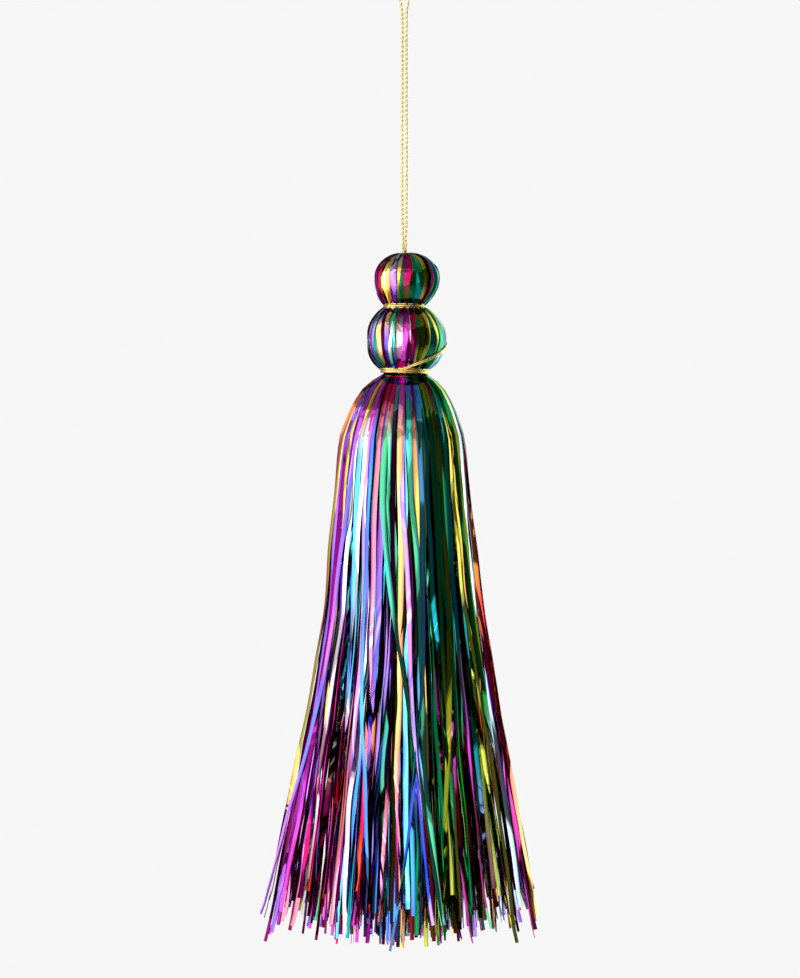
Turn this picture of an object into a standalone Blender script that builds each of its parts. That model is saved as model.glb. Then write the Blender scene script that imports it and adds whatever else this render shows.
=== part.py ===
# Foil tassel ornament: two strip-wrapped bulbs, gold thread ties, a bell skirt of strips and a cord loop.
# Metres, +Z up. The origin is the underside of the loop's bight, which hangs on a peg or hook.
import math
import random

import bmesh
import bpy
from mathutils import Matrix, Vector

mm = 0.001

# Gaps between neighbouring pieces
fit_gap = 0.3 * mm
bundle_gap = 0.3 * mm
weld_distance = 0.01 * mm

# Gold cord of the hanging loop, and its route from one leg's foot over the bight to the other's.
cord_diameter = 0.9 * mm
loop_route = [
    (-0.52, 0.00, -81.8),
    (-0.58, 0.05, -76.0),
    (-0.64, 0.10, -68.0),
    (-0.66, 0.12, -60.0),
    (-0.65, 0.08, -50.0),
    (-0.62, 0.00, -40.0),
    (-0.62, -0.06, -30.0),
    (-0.63, -0.05, -21.0),
    (-0.86, 0.00, -15.5),
    (-1.90, 0.02, -11.6),
    (-3.15, 0.00, -8.0),
    (-3.70, 0.00, -4.4),
    (-2.95, 0.00, -1.3),
    (0.00, 0.00, 0.45),
    (2.95, 0.00, -1.3),
    (3.70, 0.00, -4.4),
    (3.15, 0.00, -8.0),
    (1.90, -0.02, -11.6),
    (0.86, 0.00, -15.5),
    (0.63, 0.05, -21.0),
    (0.62, 0.06, -30.0),
    (0.62, 0.00, -40.0),
    (0.65, -0.08, -50.0),
    (0.66, -0.12, -60.0),
    (0.64, -0.10, -68.0),
    (0.58, -0.05, -76.0),
    (0.52, 0.00, -81.8),
]
points_between = 3

# Foot of the loop: the legs pressed together, and the cord's crown knot, stem and stopper knot below it
foot_length = 2.6 * mm
leg_squeeze_share = 0.93
knot_bulge = 0.15 * mm
stem_clearance = 0.4 * mm
stopper_overlap = 0.3 * mm
stopper_height = 2.4 * mm

# Bulbs: foil strips drawn over two beads
bundles = 12
strips_per_bundle = 3
strip_thickness = 0.3 * mm
strip_lap = 0.2 * mm
lap_share = 0.12
crown_lip = 0.35 * mm
upper_bulb_radius = 9.4 * mm
upper_bulb_height = 15.4 * mm
upper_widest_share = 0.51
upper_neck_radius = 5.6 * mm
lower_bulb_radius = 11.3 * mm
lower_bulb_height = 18.7 * mm
lower_widest_share = 0.52
lower_neck_radius = 6.3 * mm
bulb_fullness = 0.72

# Gold thread: its turns round each neck, and its run between them over the lower bulb
thread_diameter = 0.5 * mm
thread_turn_gap = 0.42 * mm
tie_slack = 0.06 * mm
tie_turns = 2
upper_tie_start = 200
lower_tie_start = -98
run_sweep = 232
run_low_share = 0.17
run_high_share = 0.86
run_ease = 0.8

# How far each neck bends, in degrees, either way about X and about Y
upper_neck_bend = 5
lower_neck_bend = 8

# Skirt: how far its outermost strips fall and spread below their root, its length below the lower neck and how
# much shorter it hangs at the outermost strips
root_height = 1.3 * mm
root_bite = 0.2 * mm
root_edge_share = 0.06
gather_share = 0.92
shoulder_fall = 4.6 * mm
shoulder_radius = 13.1 * mm
belly_fall = 16.0 * mm
belly_radius = 18.1 * mm
flank_fall = 62.0 * mm
flank_radius = 23.2 * mm
skirt_length = 164.0 * mm
hem_rise = 4.0 * mm
hem_radius = 40.2 * mm
foil_width = 1.75 * mm
foil_thickness = 0.2 * mm
slot_gap_share = 0.25
trimmed_share = 0.075
strip_turn = 25

# Rings of skirt strips: radius as a share of the outermost ring's, and a lock's slots, strips and faces down each
# strip. A ring with one strip fewer than its slots hangs them between the slots.
outer_locks = 12
outer_rings_shares = ((1.0, 6, 6, 4), (0.93, 6, 5, 2), (0.72, 6, 6, 1))
inner_locks = 6
inner_rings_shares = ((0.54, 8, 8, 1), (0.36, 5, 5, 1), (0.18, 3, 3, 1))

# Worked out from the sizes above
stem_radius = cord_diameter
crown_knot_radius = stem_radius + knot_bulge
bead_bore_radius = stem_radius + stem_clearance
stopper_radius = bead_bore_radius + stopper_overlap
crown_hole_radius = bead_bore_radius + crown_lip
thread_radius = thread_diameter / 2
thread_pitch = thread_diameter + thread_turn_gap
winding_height = tie_turns * thread_pitch
gather_radius = lower_neck_radius * gather_share
foot_top_z = loop_route[0][2] * mm - fit_gap
swing_pivot_z = foot_top_z - foot_length - fit_gap - crown_knot_radius
crown_z = swing_pivot_z - crown_knot_radius
upper_neck_z = crown_z - upper_bulb_height
lower_neck_z = upper_neck_z - lower_bulb_height

foil_colours = {
    "magenta": (0.80, 0.05, 0.50),
    "violet": (0.32, 0.10, 0.75),
    "blue": (0.08, 0.22, 0.80),
    "teal": (0.02, 0.55, 0.60),
    "green": (0.03, 0.50, 0.16),
    "gold": (0.90, 0.62, 0.08),
    "orange": (0.90, 0.30, 0.06),
    "red": (0.75, 0.04, 0.10),
}
foil_order = (
    "magenta", "green", "gold", "violet", "teal", "red",
    "blue", "green", "orange", "magenta", "teal", "violet",
)


def clear_scene():
    for obj in list(bpy.data.objects):
        bpy.data.objects.remove(obj, do_unlink=True)


def new_collection(name):
    made = bpy.data.collections.new(name)
    bpy.context.scene.collection.children.link(made)
    return made


def new_material(name, colour, roughness, metallic):
    made = bpy.data.materials.new(name)
    made.use_nodes = True
    shader = made.node_tree.nodes["Principled BSDF"]
    shader.inputs["Base Color"].default_value = (*colour, 1.0)
    shader.inputs["Roughness"].default_value = roughness
    shader.inputs["Metallic"].default_value = metallic
    return made


def foil_material(name, index):
    shade = foil_order[index % len(foil_order)]
    return new_material(name + "_" + shade + "_foil", foil_colours[shade], 0.18, 1.0)


def gold_material(name):
    return new_material(name + "_gold", (0.93, 0.68, 0.22), 0.3, 1.0)


def bead_material(name):
    return new_material(name + "_bead", (0.86, 0.84, 0.80), 0.6, 0.0)


def add_object(name, data, material, collection):
    obj = bpy.data.objects.new(name, data)
    if material is not None:
        data.materials.append(material)
    collection.objects.link(obj)
    return obj


def mesh_of(bm, name):
    mesh = bpy.data.meshes.new(name)
    bm.to_mesh(mesh)
    bm.free()
    return mesh


def tie_radius(neck_radius, bend):
    # To the middle of the thread, loose enough to clear the strips when the tie tilts
    tilt = math.radians(bend)
    inner = neck_radius + strip_lap + tie_slack
    return (inner + thread_radius + winding_height / 2 * math.sin(tilt)) / math.cos(tilt)


def land_height(neck_radius, bend):
    # The straight part of a neck, from its middle, that lets the tie tilt without touching the bulb
    reach = tie_radius(neck_radius, bend) + thread_radius
    return winding_height / 2 + thread_radius + reach * math.sin(math.radians(bend)) + fit_gap


def rim_height(neck_radius, bend):
    # Half the gap between the rims that meet inside a tie, open enough for both bends at once
    both = math.radians(bend * math.sqrt(2))
    return (neck_radius * math.sin(both) + fit_gap) / 2


def quarter(start, end, rows, outward, fullness=1.0):
    # Points of a quarter ellipse: outward runs level first and then down, inward down first and then level
    found = []
    for row in range(rows + 1):
        angle = math.pi / 2 * row / rows
        if outward:
            across, down = math.sin(angle), 1 - math.cos(angle)
        else:
            across, down = 1 - math.cos(angle) ** fullness, math.sin(angle)
        found.append((start[0] + (end[0] - start[0]) * across, start[1] + (end[1] - start[1]) * down))
    return found


def upper_bulb_profile():
    widest = (upper_bulb_radius, crown_z - upper_bulb_height * upper_widest_share)
    land = (upper_neck_radius, upper_neck_z + land_height(upper_neck_radius, upper_neck_bend))
    rim = (upper_neck_radius, upper_neck_z + rim_height(upper_neck_radius, upper_neck_bend))
    top = quarter((crown_hole_radius, crown_z), widest, 4, True)
    return top + quarter(widest, land, 4, False, bulb_fullness)[1:] + [rim]


def lower_bulb_profile():
    widest = (lower_bulb_radius, upper_neck_z - lower_bulb_height * lower_widest_share)
    first_rim = (upper_neck_radius, upper_neck_z - rim_height(upper_neck_radius, upper_neck_bend))
    first_land = (upper_neck_radius, upper_neck_z - land_height(upper_neck_radius, upper_neck_bend))
    last_land = (lower_neck_radius, lower_neck_z + land_height(lower_neck_radius, lower_neck_bend))
    last_rim = (lower_neck_radius, lower_neck_z + rim_height(lower_neck_radius, lower_neck_bend))
    top = [first_rim] + quarter(first_land, widest, 3, True)
    return top + quarter(widest, last_land, 4, False, bulb_fullness)[1:] + [last_rim]


def outward_normals(profile):
    # The profile runs down, so its outer side is to the left of its direction
    found = []
    for row in range(len(profile)):
        before = profile[max(row - 1, 0)]
        after = profile[min(row + 1, len(profile) - 1)]
        along = Vector((after[0] - before[0], after[1] - before[1])).normalized()
        found.append((-along.y, along.x))
    return found


def half_angle(bundle_count, radius, gap):
    return math.pi / bundle_count - math.asin(min(1.0, gap / 2 / radius))


def turn_outwards(bm, outward):
    # Turns an open sheet so that the face that lies furthest outward looks that way
    bmesh.ops.recalc_face_normals(bm, faces=bm.faces[:])
    bm.normal_update()
    furthest = max(bm.faces, key=lambda face: face.calc_center_median().dot(outward))
    if furthest.normal.dot(outward) < 0:
        bmesh.ops.reverse_faces(bm, faces=bm.faces[:])


def strip_bundle(name, profile, index, collection):
    # A bundle of three strips that lap like shingles, run over a bulb from the top of its profile down
    columns, rows = 2 * strips_per_bundle - 1, len(profile) - 1
    normals = outward_normals(profile)
    middle = 2 * math.pi * index / bundles
    bm = bmesh.new()
    for vert in bmesh.ops.create_grid(bm, x_segments=columns, y_segments=rows, size=0.5)["verts"]:
        strip, side = divmod(round((vert.co.x + 0.5) * columns), 2)
        row = round((0.5 - vert.co.y) * rows)
        radius, height = profile[row]
        across = (strip + side * (1 - lap_share)) / (strips_per_bundle - lap_share)
        reach = half_angle(bundles, radius, bundle_gap)
        angle = middle + reach * (2 * across - 1)
        lap = side * min(strip_lap, strip_lap * radius / upper_neck_radius)
        radius, height = radius + lap * normals[row][0], height + lap * normals[row][1]
        vert.co = (radius * math.cos(angle), radius * math.sin(angle), height)
    turn_outwards(bm, Vector((math.cos(middle), math.sin(middle), 0)))
    obj = add_object(name, mesh_of(bm, name), foil_material(name, index), collection)
    wall = obj.modifiers.new("wall", "SOLIDIFY")
    wall.thickness = strip_thickness
    wall.offset = -1
    wall.use_even_offset = False
    return obj


def turned(name, profile, material, collection, steps=24, closed=True):
    # A closed profile of (radius, height) points, in a ring round Z, or one whose ends lie on the axis
    mesh = bpy.data.meshes.new(name)
    points = [(radius, 0, height) for radius, height in profile]
    edges = [(i, i + 1) for i in range(len(points) - 1)]
    if closed:
        edges.append((len(points) - 1, 0))
    mesh.from_pydata(points, edges, [])
    obj = add_object(name, mesh, material, collection)
    screw = obj.modifiers.new("turn", "SCREW")
    screw.steps = screw.render_steps = steps
    screw.use_merge_vertices = True
    screw.merge_threshold = weld_distance
    screw.use_smooth_shade = True
    return obj


def bead_outline(profile, first, last):
    # The strips' profile from one row to another, drawn in to clear the inside of the strips
    inset = strip_thickness + fit_gap
    rows = list(zip(profile, outward_normals(profile)))[first : last + 1]
    return [(r - nx * inset, z - nz * inset) for (r, z), (nx, nz) in rows]


def bead(name, outline, collection):
    # A bored bead that fills the strips' hollow
    bore = [(bead_bore_radius, outline[-1][1]), (bead_bore_radius, outline[0][1])]
    return turned(name, outline + bore, bead_material(name), collection)


def upper_bead_outline():
    # Down to the neck's straight part
    profile = upper_bulb_profile()
    return bead_outline(profile, 0, len(profile) - 2)


def lower_bead_outline():
    # Between the straight parts of its two necks
    profile = lower_bulb_profile()
    return bead_outline(profile, 1, len(profile) - 2)


def arc(radius, z, across, along, turn, steps):
    # Points of an ellipse round (radius, z), from its top and outwards through that angle
    angles = [turn * step / steps for step in range(steps + 1)]
    return [(radius + across * math.sin(angle), z + along * math.cos(angle)) for angle in angles]


def cord_tail(collection):
    # The cord's ends below the crown knot, through the upper bead's bore, to the stopper knot under it
    neck_angle = math.asin(stem_radius / crown_knot_radius)
    stopper_z = upper_bead_outline()[-1][1] - fit_gap - stopper_height / 2
    knot = arc(0, swing_pivot_z, crown_knot_radius, crown_knot_radius, math.pi - neck_angle, 5)
    stopper = arc(stem_radius, stopper_z, stopper_radius - stem_radius, stopper_height / 2, math.pi, 6)
    profile = knot + stopper + [(0, stopper_z - stopper_height / 2)]
    return turned("cord_tail_knots", profile, gold_material("cord_tail_knots"), collection, 16, False)


def loop_foot(collection):
    # The two legs of the loop pressed side by side just above the crown
    legs = []
    for side, name, home in ((-1, "loop_foot", collection), (1, "second_leg", helpers)):
        bpy.ops.mesh.primitive_cylinder_add(
            vertices=16,
            radius=cord_diameter / 2,
            depth=foot_length,
            location=(side * cord_diameter * leg_squeeze_share / 2, 0, foot_top_z - foot_length / 2),
        )
        leg = bpy.context.object
        leg.name = name
        leg.data.shade_smooth()
        leg.data.set_sharp_from_angle(angle=math.radians(40))
        for other in leg.users_collection:
            other.objects.unlink(leg)
        home.objects.link(leg)
        legs.append(leg)
    legs[0].data.materials.append(gold_material("loop_foot"))
    join(legs[0], legs[1])
    return legs[0]


def join(obj, other):
    # other becomes part of obj, and stays in the scene as a helper only
    other.hide_render = True
    other.display_type = "WIRE"
    union = obj.modifiers.new("with_" + other.name, "BOOLEAN")
    union.operation = "UNION"
    union.solver = "EXACT"
    union.object = other


def pivot(name, place, parent=None):
    # An empty on a joint's axis, which carries the pieces that move with it
    empty = bpy.data.objects.new(name, None)
    empty.location = place
    empty.empty_display_size = thread_diameter
    pivots.objects.link(empty)
    if parent is not None:
        carry(parent, empty)
    return empty


def carry(empty, *pieces):
    # The pieces follow the empty, and stay where they are
    for piece in pieces:
        piece.parent = empty
        piece.matrix_parent_inverse = Matrix.Translation(-empty.location)
        for modifier in piece.modifiers:
            if modifier.type == "BOOLEAN":
                carry(empty, modifier.object)


def smooth_route(points, between):
    # A Catmull-Rom curve through the points, with that many more between each two
    ends = [2 * points[0] - points[1]] + points + [2 * points[-1] - points[-2]]
    found = []
    for a, b, c, d in zip(ends, ends[1:], ends[2:], ends[3:]):
        for step in range(between):
            t = step / between
            cubic = 3 * b - a - 3 * c + d
            square = 2 * a - 5 * b + 4 * c - d
            found.append((cubic * t**3 + square * t**2 + (c - a) * t + 2 * b) / 2)
    return found + [points[-1]]


def tube(name, points, diameter, resolution, material, collection):
    curve = bpy.data.curves.new(name, "CURVE")
    curve.dimensions = "3D"
    curve.bevel_depth = diameter / 2
    curve.bevel_resolution = resolution
    curve.use_fill_caps = True
    spline = curve.splines.new("POLY")
    spline.points.add(len(points) - 1)
    for place, point in zip(spline.points, points):
        place.co = (*point, 1)
    return add_object(name, curve, material, collection)


def least_gap(points, diameter):
    # The smallest clear distance between stretches of one tube that aren't next to each other along it
    along = [0.0]
    for here, there in zip(points, points[1:]):
        along.append(along[-1] + (there - here).length)
    apart = 6 * diameter
    gaps = [
        (points[j] - points[i]).length - diameter
        for i in range(len(points))
        for j in range(i + 1, len(points))
        if along[j] - along[i] > apart
    ]
    return min(gaps)


def hanging_loop(collection):
    route = [Vector(point) * mm for point in loop_route]
    points = smooth_route(route, points_between)
    return tube("hanging_loop", points, cord_diameter, 2, gold_material("hanging_loop"), collection)


def tie(name, neck_radius, bend, neck_z, start_angle, collection):
    # Two level-wound turns of gold thread round a neck, in one unbroken tube
    points_per_turn = 24
    radius = tie_radius(neck_radius, bend)
    points = []
    for step in range(tie_turns * points_per_turn + 1):
        turn = step / points_per_turn
        angle = math.radians(start_angle + 360 * turn)
        z = neck_z - winding_height / 2 + thread_pitch * turn
        points.append(Vector((radius * math.cos(angle), radius * math.sin(angle), z)))
    print(name, "least gap to itself", round(least_gap(points, thread_diameter) / mm, 3), "mm")
    return tube(name, points, thread_diameter, 1, gold_material(name), collection)


def over_profile(profile, share, offset):
    # A point that far off the profile, at a share of its rows from the bottom: its radius and height
    normals = outward_normals(profile)
    place = (1 - share) * (len(profile) - 1)
    row = min(int(place), len(profile) - 2)
    here, there = Vector(profile[row]), Vector(profile[row + 1])
    normal = Vector(normals[row]).lerp(Vector(normals[row + 1]), place - row).normalized()
    return here.lerp(there, place - row) + normal * offset


def thread_run(collection):
    # The thread's run between the ties, from low at the front round the +X side of the lower bulb to its back
    steps = 26
    profile = lower_bulb_profile()
    points = []
    for step in range(steps + 1):
        part = step / steps
        share = run_low_share + (run_high_share - run_low_share) * part**run_ease
        radius, z = over_profile(profile, share, strip_lap + fit_gap + thread_radius)
        angle = math.radians(lower_tie_start + run_sweep * part)
        points.append(Vector((radius * math.cos(angle), radius * math.sin(angle), z)))
    print("tie_thread_run least gap to itself", round(least_gap(points, thread_diameter) / mm, 3), "mm")
    return tube("tie_thread_run", points, thread_diameter, 1, gold_material("tie_thread_run"), collection)


def root_top():
    # Depth below the lower neck at which the skirt's roots begin
    return land_height(lower_neck_radius, lower_neck_bend) + fit_gap


def skirt_rows():
    # Depth below the lower neck and radius, down the outermost ring
    gather = root_top() + root_height - root_bite
    return (
        (gather, gather_radius),
        (gather + shoulder_fall, shoulder_radius),
        (gather + belly_fall, belly_radius),
        (gather + flank_fall, flank_radius),
        (skirt_length, hem_radius),
    )


def ring_radius(depth):
    rows = skirt_rows()
    for (upper, narrow), (lower, wide) in zip(rows, rows[1:]):
        if depth <= lower:
            return narrow + (wide - narrow) * (depth - upper) / (lower - upper)
    return hem_radius


def strand_depths(faces, length):
    # The depths of a strip's rows: all of them on the outermost ring, and the lower ones on the rings inside it
    depths = [depth for depth, radius in skirt_rows()[:-1]]
    return depths[:1] + depths[len(depths) - faces + 1 :] + [length]


def add_strand(bm, ring_share, angle, slot_angle, faces, chance):
    # One strip, flat outside and with a low ridge inside: it hangs in its own slot of the ring, turned a
    # little and drifting a little towards the hem. Its first and last columns of points meet, and its ends
    # are still open.
    length = (skirt_length - hem_rise * ring_share) * (1 - trimmed_share * chance.random())
    drift = chance.uniform(-1, 1)
    turn = math.radians(strip_turn) * chance.uniform(-1, 1)
    rows = strand_depths(faces, length)
    corners = ((-0.5, 0), (0.5, 0), (0, -1))
    for vert in bmesh.ops.create_grid(bm, x_segments=3, y_segments=faces, size=0.5)["verts"]:
        row = round((0.5 - vert.co.y) * faces)
        side, ridge = corners[round((vert.co.x + 0.5) * 3) % 3]
        radius = ring_share * ring_radius(rows[row])
        slot = slot_angle * radius * (1 - slot_gap_share)
        width = min(foil_width, slot)
        place = angle + drift * (slot - width) / 2 / radius
        centre = Vector((radius * math.cos(place), radius * math.sin(place), lower_neck_z - rows[row]))
        across = Vector((-math.sin(place + turn), math.cos(place + turn), 0))
        outward = Vector((math.cos(place + turn), math.sin(place + turn), 0))
        vert.co = centre + across * (side * width) + outward * (ridge * foil_thickness)


def lock_root(name, index, locks, inner, outer, collection):
    # The pressed root of a lock: a block of a ring, with the same gap to each neighbour all along
    steps = 3
    middle = 2 * math.pi * index / locks
    bm = bmesh.new()
    for vert in bmesh.ops.create_grid(bm, x_segments=steps, y_segments=1, size=0.5)["verts"]:
        radius = outer if vert.co.y > 0 else inner
        angle = middle - 2 * vert.co.x * half_angle(locks, radius, bundle_gap)
        vert.co = (radius * math.cos(angle), radius * math.sin(angle), lower_neck_z - root_top())
    turn_outwards(bm, Vector((0, 0, 1)))
    obj = add_object(name, mesh_of(bm, name), foil_material(name, index), collection)
    block = obj.modifiers.new("block", "SOLIDIFY")
    block.thickness = root_height
    block.offset = -1
    block.use_even_offset = False
    return obj


def lock(name, index, locks, rings, root_radius, collection):
    # A lock of the skirt: its strips, and the pressed root that they grow from under the tie
    middle = 2 * math.pi * index / locks
    inner = (rings[-1][0] - root_edge_share) * gather_radius
    obj = lock_root(name, index, locks, inner, root_radius, collection)
    chance = random.Random(name)
    bm = bmesh.new()
    for ring_share, slots, count, faces in rings:
        slot_angle = 2 * math.pi / (locks * slots)
        for place in range(count):
            angle = middle + slot_angle * (place - (count - 1) / 2)
            add_strand(bm, ring_share, angle, slot_angle, faces, chance)
    bmesh.ops.remove_doubles(bm, verts=bm.verts[:], dist=weld_distance)
    bmesh.ops.holes_fill(bm, edges=bm.edges[:], sides=3)
    join(obj, add_object(name + "_strips", mesh_of(bm, name + "_strips"), None, helpers))
    return obj


def skirt_waist(collection):
    # All the strips pressed into one round waist inside the lower tie
    top_z = lower_neck_z - rim_height(lower_neck_radius, lower_neck_bend)
    low_z = lower_neck_z - land_height(lower_neck_radius, lower_neck_bend)
    profile = [(0, top_z), (lower_neck_radius, top_z), (lower_neck_radius, low_z), (0, low_z)]
    return turned("skirt_waist", profile, foil_material("skirt_waist", 0), collection, 32, False)


clear_scene()
ornament = new_collection("foil_tassel_ornament")
pivots = new_collection("pivots")
helpers = new_collection("helpers")

loop = pivot("loop", (0, 0, 0))
shank = pivot("shank_spin", (0, 0, foot_top_z), loop)
upper_bulb = pivot("upper_bulb_swing", (0, 0, swing_pivot_z), shank)
upper_winding = pivot("upper_neck_bend_x", (0, 0, upper_neck_z), upper_bulb)
lower_bulb = pivot("upper_neck_bend_y", (0, 0, upper_neck_z), upper_winding)
lower_winding = pivot("lower_neck_bend_x", (0, 0, lower_neck_z), lower_bulb)
skirt_core = pivot("lower_neck_bend_y", (0, 0, lower_neck_z), lower_winding)

carry(loop, hanging_loop(ornament))
carry(shank, loop_foot(ornament))
carry(upper_bulb, cord_tail(ornament), bead("upper_core_bead", upper_bead_outline(), ornament))
carry(lower_bulb, bead("lower_core_bead", lower_bead_outline(), ornament), thread_run(ornament))
for number in range(bundles):
    carry(upper_bulb, strip_bundle(f"upper_strips_{number + 1:02d}", upper_bulb_profile(), number, ornament))
    carry(lower_bulb, strip_bundle(f"lower_strips_{number + 1:02d}", lower_bulb_profile(), number, ornament))
upper_tie = tie("upper_tie", upper_neck_radius, upper_neck_bend, upper_neck_z, upper_tie_start, ornament)
lower_tie = tie("lower_tie", lower_neck_radius, lower_neck_bend, lower_neck_z, lower_tie_start, ornament)
carry(upper_winding, upper_tie)
carry(lower_winding, lower_tie)
carry(skirt_core, skirt_waist(ornament))
inner_root_radius = (inner_rings_shares[0][0] + root_edge_share) * gather_radius
for number in range(inner_locks):
    node = f"inner_lock_{number + 1}"
    carry(skirt_core, lock(node, number, inner_locks, inner_rings_shares, inner_root_radius, ornament))
for number in range(outer_locks):
    node = f"outer_lock_{number + 1:02d}"
    azimuth = 2 * math.pi * number / outer_locks
    edge = Vector((math.cos(azimuth), math.sin(azimuth), 0)) * lower_neck_radius
    edge.z = lower_neck_z - root_top()
    flare = pivot(node + "_flare", edge, skirt_core)
    carry(flare, lock(node, number, outer_locks, outer_rings_shares, lower_neck_radius, ornament))
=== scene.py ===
import math
import random

import bmesh
import bpy
from mathutils import Matrix, Vector


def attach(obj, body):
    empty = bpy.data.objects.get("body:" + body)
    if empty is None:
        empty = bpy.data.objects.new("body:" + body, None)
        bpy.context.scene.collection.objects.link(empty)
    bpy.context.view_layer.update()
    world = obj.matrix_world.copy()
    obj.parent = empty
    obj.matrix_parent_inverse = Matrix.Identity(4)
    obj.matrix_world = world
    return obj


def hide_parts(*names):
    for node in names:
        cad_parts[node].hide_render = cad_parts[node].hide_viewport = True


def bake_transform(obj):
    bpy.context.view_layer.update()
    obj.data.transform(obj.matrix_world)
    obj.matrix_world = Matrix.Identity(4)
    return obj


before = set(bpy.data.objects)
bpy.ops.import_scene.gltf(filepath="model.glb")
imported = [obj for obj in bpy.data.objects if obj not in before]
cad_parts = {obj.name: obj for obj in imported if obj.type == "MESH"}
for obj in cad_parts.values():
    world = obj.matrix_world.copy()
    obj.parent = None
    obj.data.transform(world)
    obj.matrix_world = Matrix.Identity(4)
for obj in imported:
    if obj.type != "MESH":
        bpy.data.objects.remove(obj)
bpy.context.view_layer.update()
mm = 0.001

# Camera: straight on, as the photograph is taken, and far enough for almost no perspective
shot = {
    "aim": (-1.3 * mm, 0, -155.4 * mm),
    "distance": 1.5,
    "frameHeight": 283.6 * mm,
    "near": 0.05,
    "far": 30,
}


def aimCamera():
    lens = bpy.data.cameras.new("shotCamera")
    lens.lens = lens.sensor_width * shot["distance"] / shot["frameHeight"]
    lens.clip_start = shot["near"]
    lens.clip_end = shot["far"]
    camera = bpy.data.objects.new("shotCamera", lens)
    bpy.context.scene.collection.objects.link(camera)
    camera.location = Vector(shot["aim"]) - Vector((0, shot["distance"], 0))
    camera.rotation_euler = (math.radians(90), 0, 0)
    bpy.context.scene.camera = camera


aimCamera()
print("camera is set")


# Small helpers for every piece and material
def meshObject(name, bm, material):
    mesh = bpy.data.meshes.new(name)
    bm.to_mesh(mesh)
    bm.free()
    mesh.materials.append(material)
    made = bpy.data.objects.new(name, mesh)
    bpy.context.scene.collection.objects.link(made)
    return made


def newPiece(name, bm, material, sharpFrom=40):
    piece = meshObject(name, bm, material)
    piece.data.shade_smooth()
    piece.data.set_sharp_from_angle(angle=math.radians(sharpFrom))
    return piece


def newMaterial(name):
    material = bpy.data.materials.new(name)
    material.use_nodes = True
    tree = material.node_tree
    return material, tree.nodes, tree.links, tree.nodes["Principled BSDF"]


def setInputs(node, values):
    for name, value in values.items():
        node.inputs[name].default_value = value


def connect(links, *pairs):
    # Each pair is a node and its output, then a node and its input
    for giver, output, taker, entry in pairs:
        links.new(giver.outputs[output], taker.inputs[entry])


def mathNode(nodes, kind):
    node = nodes.new("ShaderNodeMath")
    node.operation = kind
    return node


def noiseNode(nodes, dimensions, scale, detail):
    node = nodes.new("ShaderNodeTexNoise")
    node.noise_dimensions = dimensions
    setInputs(node, {"Scale": scale, "Detail": detail})
    return node


def colourByPattern(nodes, links, shader, pattern, finish):
    # High places of a pattern take the finish's colour and low places its darker colour, with a bump to
    # match: painted shade in the grooves between gold filaments, dark grain in wood
    ramp = nodes.new("ShaderNodeValToRGB")
    ramp.color_ramp.elements[0].color = (*finish["grooveShadeAndGrain"], 1)
    ramp.color_ramp.elements[1].color = (*finish["colour"], 1)
    ramp.color_ramp.elements[1].position = finish["colourFrom"]
    bump = nodes.new("ShaderNodeBump")
    setInputs(bump, {"Strength": finish["bump"], "Distance": finish["depth"]})
    connect(
        links,
        (pattern, "Fac", ramp, "Fac"),
        (pattern, "Fac", bump, "Height"),
        (ramp, "Color", shader, "Base Color"),
        (bump, "Normal", shader, "Normal"),
    )


def smoothRoute(points, between):
    # Catmull-Rom through the points, with that many steps to each stretch
    found = []
    for index in range(len(points) - 1):
        before = points[max(index - 1, 0)]
        here = points[index]
        there = points[index + 1]
        after = points[min(index + 2, len(points) - 1)]
        for step in range(between):
            t = step / between
            curve = 2 * here + (there - before) * t
            curve += (2 * before - 5 * here + 4 * there - after) * t * t
            curve += (3 * here - before - 3 * there + after) * t * t * t
            found.append(0.5 * curve)
    found.append(points[-1].copy())
    return found


def evenRoute(points, step):
    # The same line with its points at even distances
    lengths = [0.0]
    for here, there in zip(points, points[1:]):
        lengths.append(lengths[-1] + (there - here).length)
    count = max(2, round(lengths[-1] / step))
    found = []
    index = 0
    for number in range(count + 1):
        wanted = lengths[-1] * number / count
        while index < len(points) - 2 and lengths[index + 1] < wanted:
            index += 1
        part = (wanted - lengths[index]) / max(lengths[index + 1] - lengths[index], 1e-9)
        found.append(points[index].lerp(points[index + 1], min(part, 1.0)))
    return found


def wayAt(points, index):
    # The way that a line of points goes at one of them
    return (points[min(index + 1, len(points) - 1)] - points[max(index - 1, 0)]).normalized()


def framesAlong(points, start):
    # Two cross directions at each point, carried along without turning round the line
    cross = Vector(start)
    found = []
    for index in range(len(points)):
        along = wayAt(points, index)
        cross = (cross - along * cross.dot(along)).normalized()
        found.append((cross, along.cross(cross)))
    return found


def startTubes():
    bm = bmesh.new()
    return bm, bm.verts.layers.float_vector.new("place")


def layTube(bm, marks, points, radius, sides, start=(0, 1, 0)):
    # A grid wrapped round the points. marks keeps for the material how far round each vertex is, and its
    # row's share of the straight way from the first point to the last
    rows = len(points) - 1
    frames = framesAlong(points, start)
    step = (points[-1] - points[0]).length / rows
    for vert in bmesh.ops.create_grid(bm, x_segments=sides, y_segments=rows, size=0.5)["verts"]:
        row = round((vert.co.y + 0.5) * rows)
        column = round((vert.co.x + 0.5) * sides)
        angle = 2 * math.pi * (column % sides) / sides
        across, over = frames[row]
        vert.co = points[row] + (across * math.cos(angle) + over * math.sin(angle)) * radius
        vert[marks] = (column / sides, row * step, 0)


def finishTubes(name, bm, material):
    bmesh.ops.remove_doubles(bm, verts=bm.verts[:], dist=goldFinish["seam"])
    openEdges = [edge for edge in bm.edges if edge.is_boundary]
    bmesh.ops.holes_fill(bm, edges=openEdges, sides=0)
    bmesh.ops.recalc_face_normals(bm, faces=bm.faces[:])
    return newPiece(name, bm, material, goldFinish["sharpFrom"])
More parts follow.
